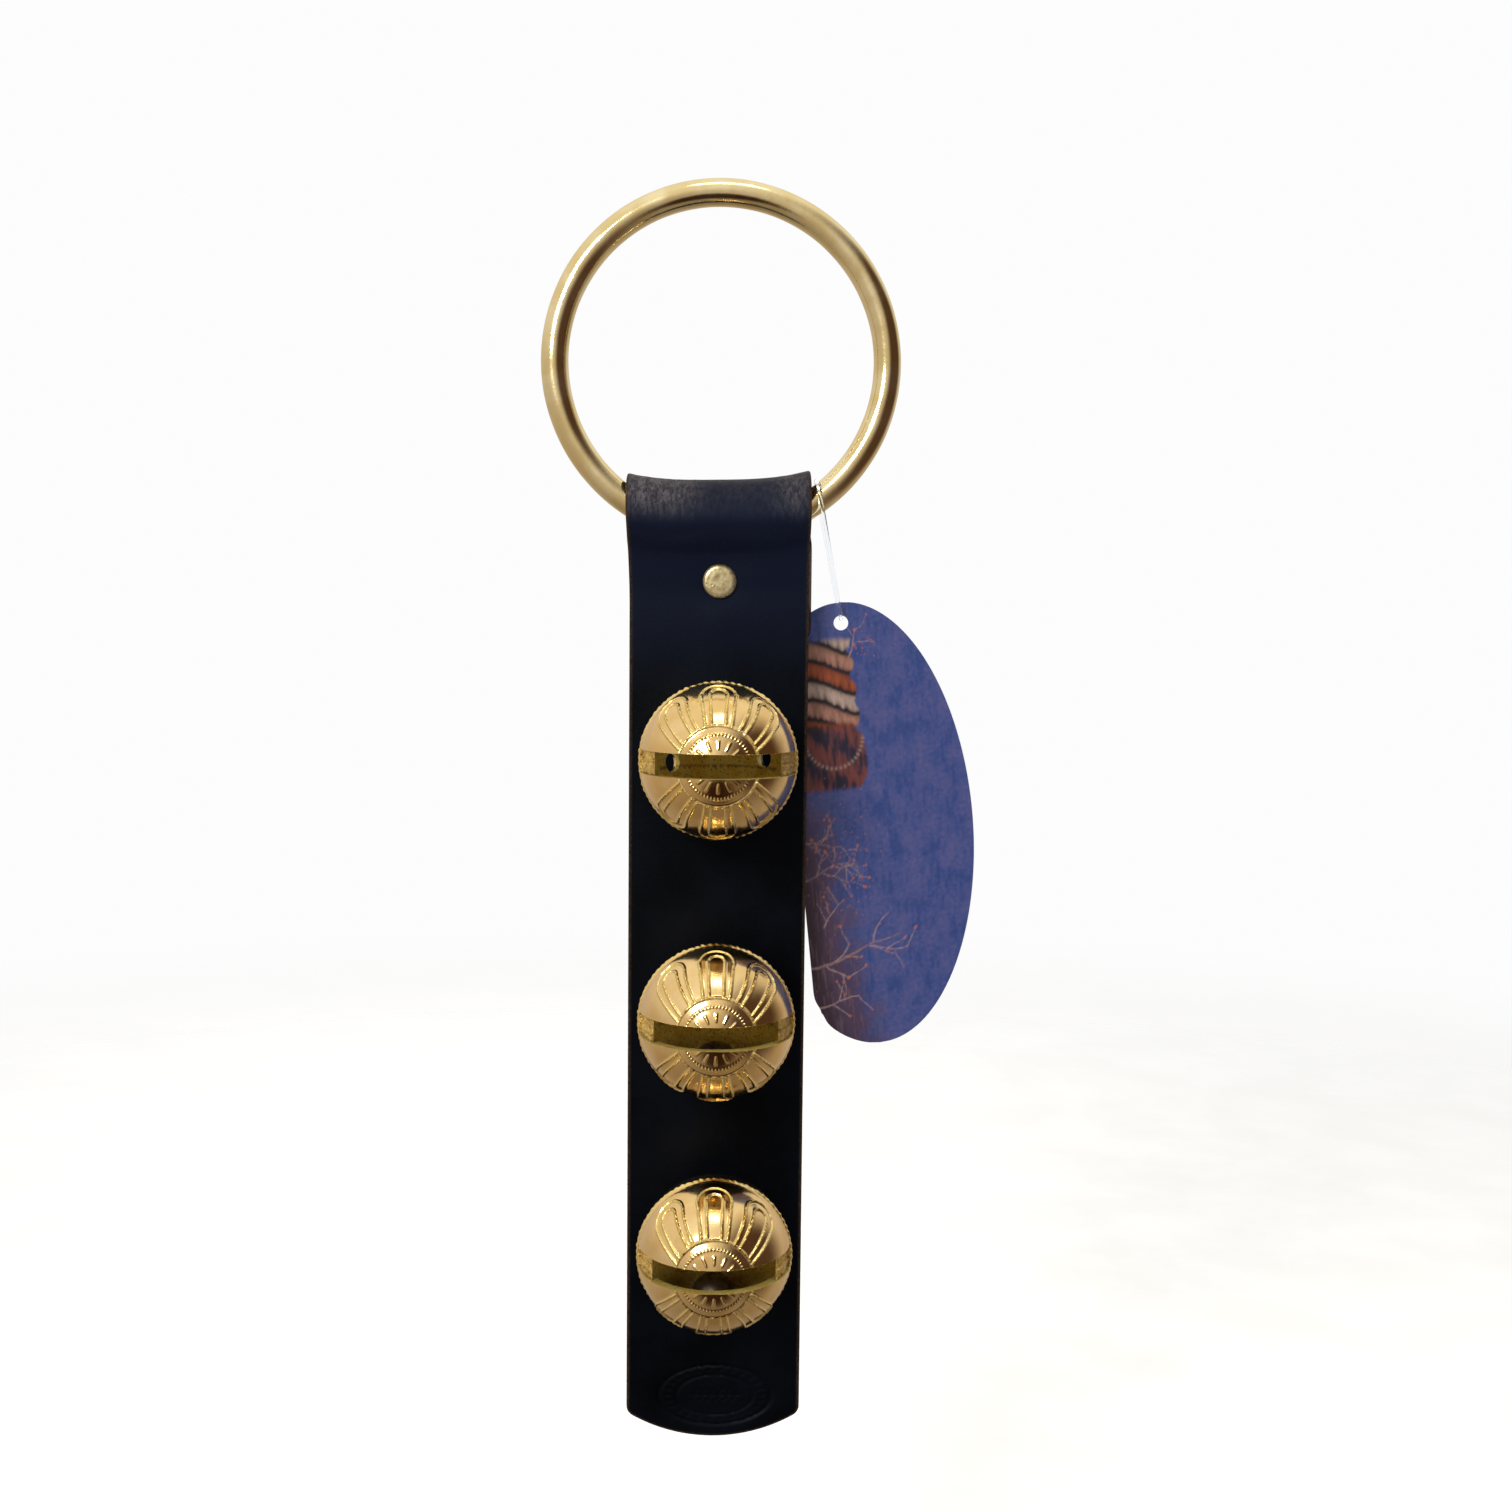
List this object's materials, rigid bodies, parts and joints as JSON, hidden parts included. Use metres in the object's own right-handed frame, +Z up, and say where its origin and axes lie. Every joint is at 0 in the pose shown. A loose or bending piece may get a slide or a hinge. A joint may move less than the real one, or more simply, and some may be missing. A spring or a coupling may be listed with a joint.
{
  "type": "sleigh bells",
  "caption": "Door-hanger sleigh bells: folded leather strap on a metal ring, petal bells with loose balls on cottered shanks, and an oval hang tag on a clear loop.",
  "frame": {"origin": "centre of the hanging ring", "axes": "+Z up, the way the object hangs; the strap and ring lie in the XZ plane and the bells' slots face -Y"},
  "size_m": [0.0947, 0.0451, 0.2721],
  "materials": {
    "ring_brass": "polished plate",
    "leather": "smooth semi-gloss black",
    "rivet_brass": "satin with fine pits",
    "bell_brass": "polished outside, as cast in the recesses",
    "pea_steel": "dull steel ball",
    "hardware_steel": "zinc plate",
    "clear_plastic": "clear",
    "tag_card": "coated printed card"
  },
  "bodies": {
    "ring": {"hanging_ring": "ring_brass"},
    "strap": {"strap": "leather", "rivet_post": "rivet_brass", "rivet_cap": "rivet_brass"},
    "bell_1": {"bell_1_shell": "bell_brass", "bell_1_washer": "hardware_steel", "bell_1_cotter_pin": "hardware_steel"},
    "pea_1": {"bell_1_pea": "pea_steel"},
    "bell_2": {"bell_2_shell": "bell_brass", "bell_2_washer": "hardware_steel", "bell_2_cotter_pin": "hardware_steel"},
    "pea_2": {"bell_2_pea": "pea_steel"},
    "bell_3": {"bell_3_shell": "bell_brass", "bell_3_washer": "hardware_steel", "bell_3_cotter_pin": "hardware_steel"},
    "pea_3": {"bell_3_pea": "pea_steel"},
    "loop": {"tag_loop": "clear_plastic"},
    "tag": {"hang_tag": "tag_card"}
  },
  "joints": [
    {"name": "strap_swing", "type": "hinge", "parent": "ring", "child": "strap", "pos_m": [0, 0, -0.0317], "axis": [-1, 0, 0], "range_deg": [0, 40]},
    {"name": "bell_1_turn", "type": "hinge", "parent": "strap", "child": "bell_1", "pos_m": [0, -0.02085, -0.0826], "axis": [0, -1, 0], "continuous": true},
    {"name": "pea_1_roll", "type": "hinge", "parent": "bell_1", "child": "pea_1", "pos_m": [0, -0.02085, -0.0826], "axis": [-1, 0, 0], "continuous": true},
    {"name": "bell_2_turn", "type": "hinge", "parent": "strap", "child": "bell_2", "pos_m": [0, -0.02085, -0.1363], "axis": [0, -1, 0], "continuous": true},
    {"name": "pea_2_roll", "type": "hinge", "parent": "bell_2", "child": "pea_2", "pos_m": [0, -0.02085, -0.1363], "axis": [-1, 0, 0], "continuous": true},
    {"name": "bell_3_turn", "type": "hinge", "parent": "strap", "child": "bell_3", "pos_m": [0, -0.02085, -0.1854], "axis": [0, -1, 0], "continuous": true},
    {"name": "pea_3_roll", "type": "hinge", "parent": "bell_3", "child": "pea_3", "pos_m": [0, -0.02085, -0.1854], "axis": [-1, 0, 0], "continuous": true},
    {"name": "loop_swing", "type": "hinge", "parent": "ring", "child": "loop", "pos_m": [0.02115, 0, -0.02807], "axis": [0.7986, 0, 0.6018], "range_deg": [0, 42]},
    {"name": "tag_swing", "type": "hinge", "parent": "loop", "child": "tag", "pos_m": [0.02638, 0.0055, -0.05354], "axis": [0, -1, 0], "range_deg": [-20, 75]}
  ]
}
